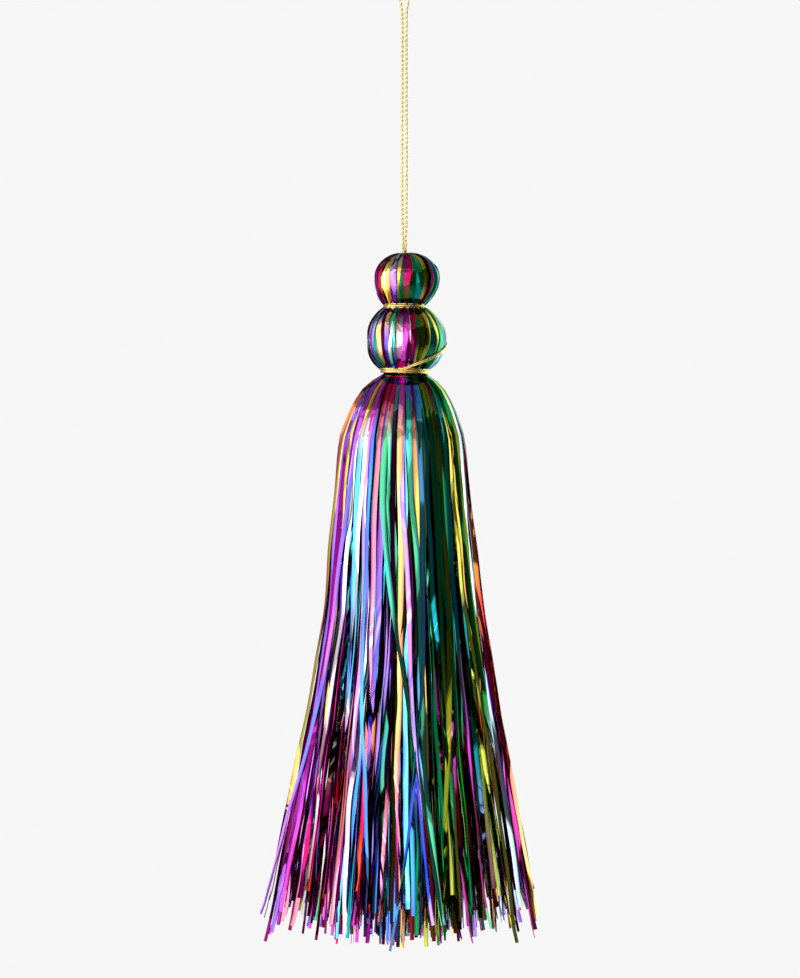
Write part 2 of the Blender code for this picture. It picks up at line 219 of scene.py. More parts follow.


# Gold metal thread, spun of fine filaments, with painted shade in the grooves between them
goldFinish = {
    "filaments": 9,
    "uneven": 0.6,
    "seam": 0.002 * mm,
    "sharpFrom": 60,
    "groove": {"colourFrom": 0.35, "bump": 0.5, "depth": 0.03 * mm},
    "cord": {"colour": (0.97, 0.84, 0.42), "grooveShadeAndGrain": (0.36, 0.26, 0.06), "roughness": 0.2, "stretch": 900},
    "thread": {"colour": (0.99, 0.80, 0.30), "grooveShadeAndGrain": (0.60, 0.40, 0.07), "roughness": 0.18, "stretch": 60},
}


def goldMaterial(name, finish):
    material, nodes, links, shader = newMaterial(name)
    setInputs(shader, {"Metallic": 1, "Roughness": finish["roughness"]})
    place = nodes.new("ShaderNodeAttribute")
    place.attribute_name = "place"
    stretch = nodes.new("ShaderNodeMapping")
    setInputs(stretch, {"Scale": (1, finish["stretch"], 1)})
    wave = nodes.new("ShaderNodeTexWave")
    wave.wave_type = "BANDS"
    wave.bands_direction = "DIAGONAL"
    setInputs(wave, {"Scale": goldFinish["filaments"], "Distortion": goldFinish["uneven"]})
    connect(
        links,
        (place, "Vector", stretch, "Vector"),
        (stretch, "Vector", wave, "Vector"),
    )
    colourByPattern(nodes, links, shader, wave, {**goldFinish["groove"], **finish})
    return material


cordGold = goldMaterial("cordGold", goldFinish["cord"])
threadGold = goldMaterial("threadGold", goldFinish["thread"])

# The hanging cord, a loop of two-ply gold cord: the same route as its solid, in mm
loopCord = {
    "thickness": 0.9 * mm,
    "plies": 2,
    "plyRadius": 0.24 * mm,
    "plyOffset": 0.205 * mm,
    "pitch": 2.7 * mm,
    "stepsPerTwist": 12,
    "sides": 8,
    "length": 0.170,
    "smoothSteps": 4,
    "route": (
        (-0.52, 0, -81.8), (-0.58, 0.05, -76), (-0.64, 0.10, -68), (-0.66, 0.12, -60), (-0.65, 0.08, -50),
        (-0.62, 0, -40), (-0.62, -0.06, -30), (-0.63, -0.05, -21), (-0.86, 0, -15.5), (-1.90, 0.02, -11.6),
        (-3.15, 0, -8), (-3.70, 0, -4.4), (-2.95, 0, -1.3), (0, 0, 0.45), (2.95, 0, -1.3), (3.70, 0, -4.4),
        (3.15, 0, -8), (1.90, -0.02, -11.6), (0.86, 0, -15.5), (0.63, 0.05, -21), (0.62, 0.06, -30),
        (0.62, 0, -40), (0.65, -0.08, -50), (0.66, -0.12, -60), (0.64, -0.10, -68), (0.58, -0.05, -76),
        (0.52, 0, -81.8),
    ),
}


def layCord(bm, marks, points, start=(0, 1, 0), turn=0.0):
    # The plies, twisted round the line through the points
    plies = loopCord["plies"]
    pitch = loopCord["pitch"]
    step = pitch / loopCord["stepsPerTwist"]
    even = evenRoute(points, step)
    frames = framesAlong(even, start)
    for ply in range(plies):
        line = []
        for index, (point, (across, over)) in enumerate(zip(even, frames)):
            angle = turn + 2 * math.pi * (index * step / pitch + ply / plies)
            line.append(point + (across * math.cos(angle) + over * math.sin(angle)) * loopCord["plyOffset"])
        layTube(bm, marks, line, loopCord["plyRadius"], loopCord["sides"], start)


def hangCord():
    route = smoothRoute([Vector(point) * mm for point in loopCord["route"]], loopCord["smoothSteps"])
    bm, marks = startTubes()
    layCord(bm, marks, route)
    piece = finishTubes("loopCord", bm, cordGold)
    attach(piece, "loop")
    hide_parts("hanging_loop")
    print("loop cord is", round(sum((b - a).length for a, b in zip(route, route[1:])), 4), "m long")


hangCord()

# Where the cord goes into the crown: its two legs, the crown knot, the tails and the stopper knot
cordEnd = {
    "legGap": 0.84 * mm,
    "legSteps": 8,
    "footTop": -82.0 * mm,
    "footBottom": -85.5 * mm,
    "knotTop": -85.05 * mm,
    "knotBottom": -87.1 * mm,
    "knotRadius": 0.42 * mm,
    "knotTurns": 1.5,
    "tailBottom": -100.2 * mm,
    "stopperRise": 2.4,  # in half thicknesses of the cord
    "stopperTurns": 2,
    "stopperRadius": 0.75 * mm,
    "stepsPerTurn": 18,
}


def legPair(bm, marks, top, bottom):
    steps = cordEnd["legSteps"]
    for side in (-1, 1):
        x = side * cordEnd["legGap"] / 2
        points = [Vector((x, 0, top + (bottom - top) * step / steps)) for step in range(steps + 1)]
        layCord(bm, marks, points, turn=side)


def knotCoil(bm, marks, radius, top, bottom, turns):
    steps = round(turns * cordEnd["stepsPerTurn"])
    points = []
    for step in range(steps + 1):
        angle = 2 * math.pi * turns * step / steps
        z = top + (bottom - top) * step / steps
        points.append(Vector((radius * math.cos(angle), radius * math.sin(angle), z)))
    layCord(bm, marks, points, (0, 0, 1))


def cordFoot():
    bm, marks = startTubes()
    legPair(bm, marks, cordEnd["footTop"], cordEnd["footBottom"])
    piece = finishTubes("cordFoot", bm, cordGold)
    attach(piece, "shank")
    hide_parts("loop_foot")


def cordKnots():
    bm, marks = startTubes()
    half = loopCord["thickness"] / 2
    top = cordEnd["knotTop"] - half
    bottom = cordEnd["knotBottom"] + half
    tailBottom = cordEnd["tailBottom"]
    stopperTop = tailBottom + cordEnd["stopperRise"] * half
    knotCoil(bm, marks, cordEnd["knotRadius"], top, bottom, cordEnd["knotTurns"])
    legPair(bm, marks, bottom, tailBottom)
    knotCoil(bm, marks, cordEnd["stopperRadius"], stopperTop, tailBottom, cordEnd["stopperTurns"])
    piece = finishTubes("cordKnots", bm, cordGold)
    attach(piece, "upper_bulb")
    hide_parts("cord_tail_knots")


cordFoot()
cordKnots()
print("cord and knots are laid")

# Foil: metallised film, whose tint turns with the light from a strip's root to its end
foilTints = {
    "plum": (0.15, 0.004, 0.11),
    "violet": (0.24, 0.11, 0.60),
    "lilac": (0.40, 0.22, 0.76),
    "indigo": (0.05, 0.025, 0.38),
    "azure": (0.06, 0.20, 0.72),
    "sky": (0.10, 0.42, 0.80),
    "ice": (0.52, 0.74, 0.92),
    "frost": (0.88, 0.84, 0.92),
    "teal": (0.010, 0.31, 0.34),
    "mint": (0.07, 0.46, 0.28),
    "leaf": (0.004, 0.21, 0.06),
    "green": (0.004, 0.14, 0.04),
    "moss": (0.15, 0.17, 0.008),
    "lime": (0.52, 0.60, 0.08),
    "gold": (0.80, 0.50, 0.09),
    "peach": (0.86, 0.46, 0.19),
    "copper": (0.70, 0.17, 0.04),
    "maroon": (0.12, 0.003, 0.025),
    "crimson": (0.52, 0.010, 0.045),
    "blush": (0.84, 0.24, 0.36),
    "pearl": (0.88, 0.58, 0.70),
    "rose": (0.60, 0.012, 0.17),
    "magenta": (0.52, 0.05, 0.44),
}
foilFinish = {
    "roughness": 0.07,
    "specular": 0.45,
    "rippleHeight": 0.09 * mm,
    "rippleDetail": 2,
    "driftScale": 26,
    "driftDetail": 1,
    # painted shade where a strip meets its neighbours
    "edgeShade": 0.38,  # how much darker a strip is at its edges
    "leastLight": 0.02,
    "bulb": {"shift": 0.12, "ripples": 420},
    "skirt": {"shift": 0.16, "ripples": 130},
}


def foilShiftGroup():
    # Colour and ripple of a strip from its tint, the turn of its hue, the place along it and its painted
    # light and shade
    group = bpy.data.node_groups.new("foilShift", "ShaderNodeTree")
    sockets = group.interface
    sockets.new_socket("Tint", in_out="INPUT", socket_type="NodeSocketColor")
    for name in ("Hue", "Along", "Light", "Shift", "Ripples"):
        sockets.new_socket(name, in_out="INPUT", socket_type="NodeSocketFloat")
    sockets.new_socket("Colour", in_out="OUTPUT", socket_type="NodeSocketColor")
    sockets.new_socket("Ripple", in_out="OUTPUT", socket_type="NodeSocketFloat")
    nodes = group.nodes
    links = group.links
    given = nodes.new("NodeGroupInput")
    result = nodes.new("NodeGroupOutput")
    drift = noiseNode(nodes, "1D", foilFinish["driftScale"], foilFinish["driftDetail"])
    centred = mathNode(nodes, "SUBTRACT")
    setInputs(centred, {1: 0.5})
    turned = mathNode(nodes, "MULTIPLY_ADD")
    film = nodes.new("ShaderNodeHueSaturation")
    rippled = mathNode(nodes, "MULTIPLY")
    ripple = noiseNode(nodes, "1D", 1, foilFinish["rippleDetail"])
    connect(
        links,
        (given, "Along", drift, "W"),
        (drift, "Fac", centred, 0),
        (centred, 0, turned, 0),
        (given, "Shift", turned, 1),
        (given, "Hue", turned, 2),
        (turned, 0, film, "Hue"),
        (given, "Light", film, "Value"),
        (given, "Tint", film, "Color"),
        (film, "Color", result, "Colour"),
        (given, "Along", rippled, 0),
        (given, "Ripples", rippled, 1),
        (rippled, 0, ripple, "W"),
        (ripple, "Fac", result, "Ripple"),
    )
    return group


foilShift = foilShiftGroup()


def foilMaterial(name, kind):
    material, nodes, links, shader = newMaterial(name)
    specular = foilFinish["specular"]
    setInputs(shader, {"Metallic": 1, "Specular Tint": (specular, specular, specular, 1)})
    setInputs(shader, {"Roughness": foilFinish["roughness"]})
    strip = nodes.new("ShaderNodeAttribute")
    strip.attribute_name = "strip"
    parts = nodes.new("ShaderNodeSeparateXYZ")
    tint = nodes.new("ShaderNodeAttribute")
    tint.attribute_name = "tint"
    film = nodes.new("ShaderNodeGroup")
    film.node_tree = foilShift
    setInputs(film, {"Shift": foilFinish[kind]["shift"], "Ripples": foilFinish[kind]["ripples"]})
    bump = nodes.new("ShaderNodeBump")
    setInputs(bump, {"Strength": 1, "Distance": foilFinish["rippleHeight"]})
    connect(
        links,
        (strip, "Vector", parts, "Vector"),
        (tint, "Color", film, "Tint"),
        (parts, "X", film, "Hue"),
        (parts, "Y", film, "Along"),
        (parts, "Z", film, "Light"),
        (film, "Colour", shader, "Base Color"),
        (film, "Ripple", bump, "Height"),
        (bump, "Normal", shader, "Normal"),
    )
    return material


upperFoil = foilMaterial("upperBulbFoil", "bulb")
lowerFoil = foilMaterial("lowerBulbFoil", "bulb")
skirtFoil = foilMaterial("skirtFoil", "skirt")


def foilMesh():
    # An empty mesh with the two things that its material reads: hue turn, way along and painted light, and
    # the tint
    bm = bmesh.new()
    bm.verts.layers.float_vector.new("strip")
    bm.verts.layers.float_vector.new("tint")
    return bm


def tintRun(stops, rows):
    # The tint at each row of a strip, between stops that each have a place along it and a tint
    places = [stop[0] for stop in stops]
    colours = [Vector(foilTints[stop[1]]) for stop in stops]
    found = []
    for row in range(rows):
        part = row / (rows - 1)
        passed = [index for index, place in enumerate(places) if place <= part]
        here = passed[-1] if passed else 0
        there = min(here + 1, len(stops) - 1)
        gap = max(places[there] - places[here], 0.001)
        found.append(colours[here].lerp(colours[there], min(1.0, max(0.0, part - places[here]) / gap)))
    return found


def chanceSlant(chance, hue, light):
    # How much the hue of a strip changes from its middle to its edge, and how much painted light slants
    # across it, one edge lit and the other shaded
    return chance.uniform(-hue, hue), chance.uniform(-light, light)


def layStrip(bm, rows, width, cup, film, lights, columns, seed, slant=(0, 0)):
    # One flat strip moved onto its rows: each row is a middle, the way across, the way out and a width share
    strips = bm.verts.layers.float_vector["strip"]
    tints = bm.verts.layers.float_vector["tint"]
    count = len(rows) - 1
    travelled = [0.0]
    for here, there in zip(rows, rows[1:]):
        travelled.append(travelled[-1] + (there[0] - here[0]).length)
    for vert in bmesh.ops.create_grid(bm, x_segments=columns, y_segments=count, size=0.5)["verts"]:
        row = round((0.5 - vert.co.y) * count)
        side = vert.co.x * 2
        middle, across, outward, share = rows[row]
        reach = width * share / 2
        vert.co = middle + across * (side * reach) + outward * (cup * share * (1 - side * side))
        # Painted shade at the strip's edges, and a painted slant of light from one edge to the other
        light = lights[row] * (1 - foilFinish["edgeShade"] * side * side + slant[1] * side)
        vert[strips] = (0.5 + slant[0] * side, travelled[row] + seed, max(light, foilFinish["leastLight"]))
        vert[tints] = film[row]


def turnedRow(middle, along, outward, twist, share=1.0):
    # A strip's row on a line, turned round that line by its twist
    outward = (outward - along * outward.dot(along)).normalized()
    across = along.cross(outward)
    turn = Matrix.Rotation(twist, 3, along)
    return middle, turn @ across, turn @ outward, share


def finishStrips(bm, thickness):
    bmesh.ops.recalc_face_normals(bm, faces=bm.faces[:])
    bmesh.ops.solidify(bm, geom=bm.faces[:], thickness=thickness)
    bmesh.ops.recalc_face_normals(bm, faces=bm.faces[:])


# The two bulbs of foil over their core beads. Each strip of the photographed side has its angle from the left
# edge, its tints from top to bottom, its width in mm and its light, a painted highlight or shade; the far
# side has them by chance.
upperBulb = {
    "name": "upperBulbStrips",
    "middleZ": -94.35 * mm,
    "radius": 9.3 * mm,
    "rise": 7.35 * mm,
    "fall": 10.0 * mm,
    "crownDip": 0.7 * mm,
    "crownRadius": 1.1 * mm,
    "neckRadius": 5.85 * mm,
    "lean": 0.85 * mm,
    "front": (
        (7, "plum", 2.0, 0.7), (18, "maroon crimson maroon", 1.9, 1.0),
        (31, "plum crimson copper", 2.3, 1.3), (43, "maroon peach gold", 2.3, 1.5),
        (53, "plum lime copper", 1.3, 1.0), (63, "mint lilac indigo", 2.7, 1.05),
        (75, "indigo gold moss", 2.0, 1.05), (83, "plum leaf", 1.5, 0.6),
        (92, "crimson rose rose moss", 2.5, 0.6), (102, "leaf", 1.9, 0.85),
        (112, "mint leaf teal", 2.3, 0.75), (123, "gold moss gold", 2.1, 0.85), (133, "moss", 1.8, 0.5),
        (143, "plum moss", 1.4, 0.7), (151, "mint", 1.7, 0.95), (161, "lime teal", 2.0, 0.95),
        (172, "ice mint", 2.0, 0.95),
    ),
}
lowerBulb = {
    "name": "lowerBulbStrips",
    "middleZ": -112.0 * mm,
    "radius": 11.15 * mm,
    "rise": 10.8 * mm,
    "fall": 10.9 * mm,
    "crownDip": 0,
    "crownRadius": 5.95 * mm,
    "neckRadius": 6.35 * mm,
    "lean": 0.8 * mm,
    "front": (
        (7, "plum indigo", 2.2, 0.9), (18, "gold violet indigo", 2.2, 1.0),
        (28, "leaf violet leaf", 1.9, 1.0), (36, "indigo leaf teal", 1.8, 0.8),
        (44, "violet gold peach moss", 2.2, 1.2), (51, "plum", 1.2, 0.3),
        (57, "gold violet indigo", 1.8, 1.0), (64, "leaf frost mint", 1.6, 1.1),
        (69, "mint mint indigo", 1.3, 0.9), (74, "moss crimson", 1.0, 0.9),
        (79.5, "plum pearl magenta", 2.1, 1.0), (86.5, "plum magenta magenta", 2.0, 1.15),
        (92, "plum", 1.2, 0.9), (95.5, "pearl", 0.7, 1.0), (100, "crimson rose plum", 2.0, 0.6),
        (107, "leaf leaf lime", 1.9, 0.65), (115, "moss", 2.0, 0.6), (122.5, "gold moss lime", 1.6, 0.8),
        (131, "leaf teal leaf", 2.0, 0.8), (140, "gold lime leaf", 1.7, 0.95),
        (150, "leaf mint leaf", 2.1, 1.0), (161, "lime mint ice", 2.0, 0.9), (173, "ice sky", 2.0, 0.9),
    ),
}
bulbFoil = {
    "thickness": 0.05 * mm,
    "cup": 0.14 * mm,
    "cups": (0.5, 1.4),
    "rows": 32,
    "columns": 4,
    "outlineSteps": 24,
    "crownInset": 0.8,
    "layers": 0.13 * mm,
    "wave": 0.10 * mm,
    "waves": (1.2, 2.6),
    "twist": 9,
    "flutter": 0.08,
    "swing": 19,
    "overlap": 1.5,
    "pleat": 0.6,
    "ends": (0.7, 1.05),
    "hueSlant": 0.03,
    "lightSlant": 0.3,
    "backWidth": 2.3,
    "backShift": 0.2,
    "backLights": (0.5, 1.1),
    "backTints": ("plum", "violet", "teal", "leaf", "gold", "crimson", "magenta", "moss", "azure", "mint"),
    "loose": ((136, 0.95 * mm, "plum", 1.2), (149, 0.7 * mm, "teal", 1.1), (21, 0.5 * mm, "plum", 1.3)),
    "looseLight": 0.8,
}


def bulbOutline(bulb, rows):
    # Radius and height down the bulb: part of an ellipse above its widest place and part of one below it
    top = math.acos(bulb["crownRadius"] / bulb["radius"])
    low = math.acos(bulb["neckRadius"] / bulb["radius"])
    steps = bulbFoil["outlineSteps"]
    points = []
    if bulb["crownDip"]:
        height = bulb["middleZ"] + bulb["rise"] * math.sin(top) - bulb["crownDip"]
        points.append(Vector((bulb["crownRadius"] * bulbFoil["crownInset"], 0, height)))
    for step in range(steps + 1):
        angle = top - (top + low) * step / steps
        height = bulb["rise"] if angle > 0 else bulb["fall"]
        z = bulb["middleZ"] + height * math.sin(angle)
        points.append(Vector((bulb["radius"] * math.cos(angle), 0, z)))
    length = sum((b - a).length for a, b in zip(points, points[1:]))
    return evenRoute(points, length / rows)


def bulbPlaces(bulb, chance):
    # Angle, height above the outline, tints, width and painted light of every strip of a bulb
    places = []
    for number, (angle, tint, width, light) in enumerate(bulb["front"]):
        places.append((180 + angle, (number % 3) * bulbFoil["layers"], tint, width, light))
    count = len(bulb["front"]) - 1
    shift = bulbFoil["backShift"]
    for number in range(count):
        angle = 180 * (number + 0.5 + chance.uniform(-shift, shift)) / count
        tint = " ".join(chance.choices(bulbFoil["backTints"], k=2))
        light = chance.uniform(*bulbFoil["backLights"])
        places.append((angle, (number % 3) * bulbFoil["layers"], tint, bulbFoil["backWidth"], light))
    if bulb["crownDip"]:
        for angle, lift, tint, width in bulbFoil["loose"]:
            places.append((180 + angle, lift, tint, width, bulbFoil["looseLight"]))
    return places


def bulbStrips(bulb, material, body, nodes):
    chance = random.Random(bulb["name"])
    bm = foilMesh()
    outline = bulbOutline(bulb, bulbFoil["rows"])
    places = bulbPlaces(bulb, chance)
    for azimuth, layer, tint, broad, light in places:
        swing = chance.uniform(-1, 1) * bulbFoil["swing"]
        tilt = math.radians(chance.gauss(0, bulbFoil["twist"]))
        phase = chance.uniform(0, 2 * math.pi)
        waves = chance.uniform(*bulbFoil["waves"])
        width = broad * mm
        rows = []
        bellies = []
        for index, point in enumerate(outline):
            share = index / (len(outline) - 1)
            slope = wayAt(outline, index)
            belly = math.sin(math.pi * share)
            angle = math.radians(azimuth + swing * (share - 0.5) * belly)
            radial = Vector((math.cos(angle), math.sin(angle), 0))
            lean = Vector((bulb["lean"] * belly, 0, 0))
            along = (radial * slope.x + Vector((0, 0, slope.z))).normalized()
            outward = radial * -slope.z + Vector((0, 0, slope.x))
            slot = 2 * math.pi * point.x / len(places)
            snug = min(1.0, bulbFoil["overlap"] * slot / width)
            pleat = bulbFoil["pleat"] * math.acos(min(1.0, 0.5 + 0.5 * snug))
            lift = layer * belly + bulbFoil["wave"] * belly * math.sin(phase + waves * 2 * math.pi * share)
            middle = radial * point.x + Vector((0, 0, point.z)) + lean + outward * lift
            twist = tilt * snug + pleat + bulbFoil["flutter"] * math.sin(phase * 2 + waves * 5 * share)
            rows.append(turnedRow(middle, along, outward, twist, snug))
            bellies.append(belly)
        ends = chance.uniform(*bulbFoil["ends"])
        # Painted shade: most strips are painted darker towards the crown and the neck
        lights = [light * (ends + (1 - ends) * belly) for belly in bellies]
        cup = bulbFoil["cup"] * chance.uniform(*bulbFoil["cups"])
        names = tint.split()
        film = tintRun([((step + 0.5) / len(names), name) for step, name in enumerate(names)], len(rows))
        slant = chanceSlant(chance, bulbFoil["hueSlant"], bulbFoil["lightSlant"])
        layStrip(bm, rows, width, cup, film, lights, bulbFoil["columns"], chance.random(), slant)
    finishStrips(bm, bulbFoil["thickness"])
    piece = newPiece(bulb["name"], bm, material)
    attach(piece, body)
    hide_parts(*nodes)


bulbStrips(upperBulb, upperFoil, "upper_bulb", [f"upper_strips_{number:02d}" for number in range(1, 13)])
bulbStrips(lowerBulb, lowerFoil, "lower_bulb", [f"lower_strips_{number:02d}" for number in range(1, 13)])
print("bulbs are covered")

# Gold thread: a winding at each neck, highest at one side, and the run across the lower bulb
windings = {
    "threadRadius": 0.225 * mm,
    "step": 0.3 * mm,
    "sides": 8,
    "stepsPerTurn": 60,
    "highestAt": 195,
    "height": 1.3 * mm,
    "upper": {"z": -102.5 * mm, "radius": 6.15 * mm, "turns": 2.4, "start": 190, "wave": 0.12 * mm},
    "lower": {"z": -121.2 * mm, "radius": 6.95 * mm, "turns": 2.6, "start": 170, "wave": 0.3 * mm},
}


def layThread(bm, marks, points):
    even = evenRoute(points, windings["step"])
    layTube(bm, marks, even, windings["threadRadius"], windings["sides"], (0, 0, 1))


def winding(name, sizes, body, node):
    bm, marks = startTubes()
    steps = round(sizes["turns"] * windings["stepsPerTurn"])
    radius = sizes["radius"]
    points = []
    for step in range(steps + 1):
        share = step / steps
        angle = math.radians(sizes["start"]) + 2 * math.pi * sizes["turns"] * share
        wave = sizes["wave"] * math.cos(angle - math.radians(windings["highestAt"]))
        z = sizes["z"] + windings["height"] * (share - 0.5) + wave
        points.append(Vector((radius * math.cos(angle), radius * math.sin(angle), z)))
    layThread(bm, marks, points)
    piece = finishTubes(name, bm, threadGold)
    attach(piece, body)
    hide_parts(node)


winding("upperWinding", windings["upper"], "upper_winding", "upper_tie")
winding("lowerWinding", windings["lower"], "lower_winding", "lower_tie")

# Two lengths side by side, up from the lower winding: angles in degrees, heights as shares of the bulb
crossing = {
    "startAngle": -98,
    "sweep": 232,
    "low": 0.02,
    "high": 0.95,
    "off": 0.48 * mm,
    "gap": 0.62 * mm,
    "steps": 48,
    "outlineRows": 40,
}


def threadCrossing():
    bm, marks = startTubes()
    outline = bulbOutline(lowerBulb, crossing["outlineRows"])
    for strand in (-0.5, 0.5):
        points = []
        for step in range(crossing["steps"] + 1):
            part = step / crossing["steps"]
            share = crossing["low"] + (crossing["high"] - crossing["low"]) * part
            place = (1 - share) * (len(outline) - 1)
            row = min(int(place), len(outline) - 2)
            here = outline[row].lerp(outline[row + 1], place - row)
            slope = (outline[row + 1] - outline[row]).normalized()
            outward = Vector((-slope.z, 0, slope.x))
            here = here + outward * crossing["off"] + slope * (strand * crossing["gap"])
            angle = math.radians(crossing["startAngle"] + crossing["sweep"] * part)
            lean = lowerBulb["lean"] * math.sin(math.pi * (1 - share))
            points.append(Vector((here.x * math.cos(angle) + lean, here.x * math.sin(angle), here.z)))
        layThread(bm, marks, points)
    piece = finishTubes("threadCrossing", bm, threadGold)
    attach(piece, "lower_bulb")
    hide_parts("tie_thread_run")


threadCrossing()
print("threads are wound")

# The skirt: loose strips in locks, which hang from the waist inside the lower winding. Those of solidRings
# start where the strands of their solid do and end at the same depths: radius share, places across a lock and
# how many are taken. Other rings are radius share and number. The outline is depth and radius in mm.
skirt = {
    "neckZ": -121.2 * mm,
    "outline": (
        (0.9, 6.3), (1.5, 6.9), (2.3, 8.3), (3.9, 10.4), (6.9, 12.6), (10.8, 14.6), (15.0, 16.2),
        (19.9, 17.7), (31.9, 19.2), (48.0, 21.0), (66.0, 22.8), (87.0, 26.0), (108.0, 29.8),
        (129.0, 34.0), (150.0, 38.0), (172.0, 42.3),
    ),
    "smoothSteps": 8,
    "outerLocks": 12,
    "innerLocks": 6,
    "length": 164 * mm,
    "hemRise": 4 * mm,
    "trimmed": 0.075,
    "over": 4 * mm,
    "width": 1.45 * mm,
    "widths": (0.84, 1.06),
    "frontWidth": 1.2,
    "otherWidth": 1.12,
    "rootWidth": 0.36,
    "topRootWidth": 0.8,
    "widening": 6.5,
    "narrowing": 0.28,
    "cups": (-0.06, 0.13),
    "thickness": 0.045 * mm,
    "rows": 44,
    "columns": 2,
    "solidRings": ((1.0, 6, 6), (0.93, 6, 5), (0.72, 6, 6)),
    "fillRings": ((0.975, 5), (0.90, 6), (0.82, 6), (0.62, 4)),
    "innerRings": ((0.54, 10), (0.42, 8), (0.30, 5), (0.18, 3)),
    "outermost": 0.95,
    "outerSwell": (-0.15, 0.02),
    "innerSwell": (-0.28, -0.04),
    "ripple": 0.16 * mm,
    "bulge": 0.13 * mm,
    "sweep": -1.3 * mm,
    "sweepFrom": 0.3,
    "wander": 1.3 * mm,
    "solidWander": 0.4,
    "bends": (0.5, 1.6),
    "crossFrom": 0.25,
    "twistTop": 14,
    "twistHem": 66,
    "faceTurn": 0.4,
    "flipped": 0.15,
    "turnFrom": (-0.3, 0.5),
    "turnLater": 0.3,
    "sway": 6,
    "sways": (0.3, 1.0),
    "lean": -0.7 * mm,
    "leanDepth": 70 * mm,
    "onTop": 0.13 * mm,
    "domeSwell": 0.3 * mm,
    "domeDepth": 30 * mm,
    "openSides": 0.28,
    "gather": 0.6,
    "zoneBlur": 9,
    "rootEnds": (0.04, 0.10),
    "rootFade": 0.08,
    "hemFrom": (0.4, 0.8),
    "paleHemFrom": (0.46, 0.58),
    "hemFades": (0.08, 0.3),
    "oneTint": 0.25,
    "hueSlant": 0.04,
    "lightSlant": 0.4,
    "rootLight": 0.7,
    "tipLight": 0.75,
    "tipFrom": 0.8,
    "shadedSides": (12, 75),
    "shadedLight": 0.85,
    "openLight": 1.1,
    "deepLight": 0.2,
    "deepShares": (0.5, 0.85),
    "frontLights": (0.8, 1.05),
    "behindLights": (0.4, 0.7, 0.8, 0.9, 1.0),
    "fillLights": (0.45, 0.7, 0.8, 0.9, 1.0, 1.0),
    "bendBelow": 2.2 * mm,
    "bendLength": 9 * mm,
}
# The outermost strips of the photographed side, in their order from its left edge to its right edge
skirtFront = (
    "plum plum gold peach violet plum gold indigo frost sky frost lilac frost blush violet mint plum peach "
    "sky magenta gold mint teal leaf leaf leaf teal moss gold leaf moss ice ice peach plum crimson"
).split()
frontPitch = 180 / len(skirtFront)
# Strips that lie across the others: side, how fast they go round below a quarter of their length, in degrees
# for a whole length, and tint
skirtStrays = (
    (-48, -40, "violet"), (-14, 42, "mint"), (4, -14, "moss"), (-2, 22, "lilac"), (16, -26, "sky"),
    (-30, 20, "azure"), (34, -20, "moss"), (50, 4, "lime"), (62, 24, "magenta"), (-66, 26, "violet"),
    (6, 16, "mint"), (-86, -8, "magenta"), (-72, -14, "plum"), (-60, -16, "violet"), (-79, 6, "magenta"),
    (84, 8, "plum"), (74, 12, "copper"), (66, 14, "lilac"), (80, -8, "crimson"), (115, 30, "violet"),
    (160, -26, "mint"), (205, 34, "gold"), (245, -30, "magenta"),
)
strays = {"lengths": (0.93, 1.01), "frontShares": (0.99, 1.02), "edgeShares": (0.93, 0.98), "swell": 0.02}
# Tints at the roots by side, from the left edge of the photographed side round to its right, then behind
rootSides = (
    (-80, "gold violet plum gold copper"),
    (-56, "violet gold indigo violet teal"),
    (-36, "magenta violet indigo plum green magenta"),
    (-14, "magenta crimson teal plum rose mint"),
    (8, "azure plum teal maroon magenta green"),
    (30, "green moss maroon green teal gold"),
    (54, "green moss lime green green"),
    (80, "gold teal lime green mint"),
    (130, "violet teal magenta plum"),
    (180, "green violet crimson azure"),
    (230, "magenta plum gold indigo"),
)
# The same for the lengths below them. The far side has one set of tints down to its lower ends.
farSides = (
    (130, "violet azure magenta mint plum gold"),
    (180, "teal green violet sky copper crimson moss"),
    (230, "magenta plum violet gold azure mint"),
)
skirtSides = (
    (-82, "magenta peach violet plum magenta crimson"),
    (-62, "violet indigo gold ice lilac mint plum lime"),
    (-42, "ice ice lilac mint lime sky blush violet plum"),
    (-24, "lilac blush sky indigo ice rose violet teal plum mint"),
    (-6, "mint green peach violet blush teal mint lilac sky mint"),
    (10, "sky sky lime mint lilac plum gold teal mint green"),
    (24, "leaf moss plum leaf green teal leaf moss"),
    (42, "leaf moss leaf teal leaf gold moss green"),
    (62, "moss gold ice plum lime sky copper ice"),
    (82, "ice teal pearl blush peach violet gold pearl"),
) + farSides
# The same for their lower ends
hemSides = (
    (-75, "magenta violet magenta magenta plum lilac blush maroon"),
    (-45, "plum crimson maroon maroon rose plum magenta maroon indigo"),
    (-20, "sky lilac blush azure violet crimson sky plum blush pearl"),
    (0, "lilac magenta sky sky azure peach lilac violet blush lilac mint"),
    (20, "leaf moss magenta lime maroon gold leaf copper green"),
    (42, "plum gold maroon crimson leaf maroon magenta lime"),
    (70, "plum lime plum lilac copper mint violet peach ice"),
) + farSides
bellPoints = [Vector((radius, 0, depth)) * mm for depth, radius in skirt["outline"]]
bell = smoothRoute(bellPoints, skirt["smoothSteps"])


def sideOf(azimuth):
    # Degrees round from the middle of the photographed side, less than 0 on its left
    return (azimuth + 270) % 360 - 180


def shareBetween(value, start, end):
    # 0 up to the start, 1 from the end on, and even between them
    return min(1.0, max(0.0, (value - start) / (end - start)))


def soon(part, times):
    # From 0 at the root up to 1, the sooner the higher times is
    return min(1.0, times * part)


def skirtTint(sides, azimuth, chance):
    side = sideOf(azimuth)
    if side < -100:
        side += 360
    blur = skirt["zoneBlur"]
    near = min(sides, key=lambda zone: abs(zone[0] - side - chance.uniform(-blur, blur)))
    return chance.choice(near[1].split())


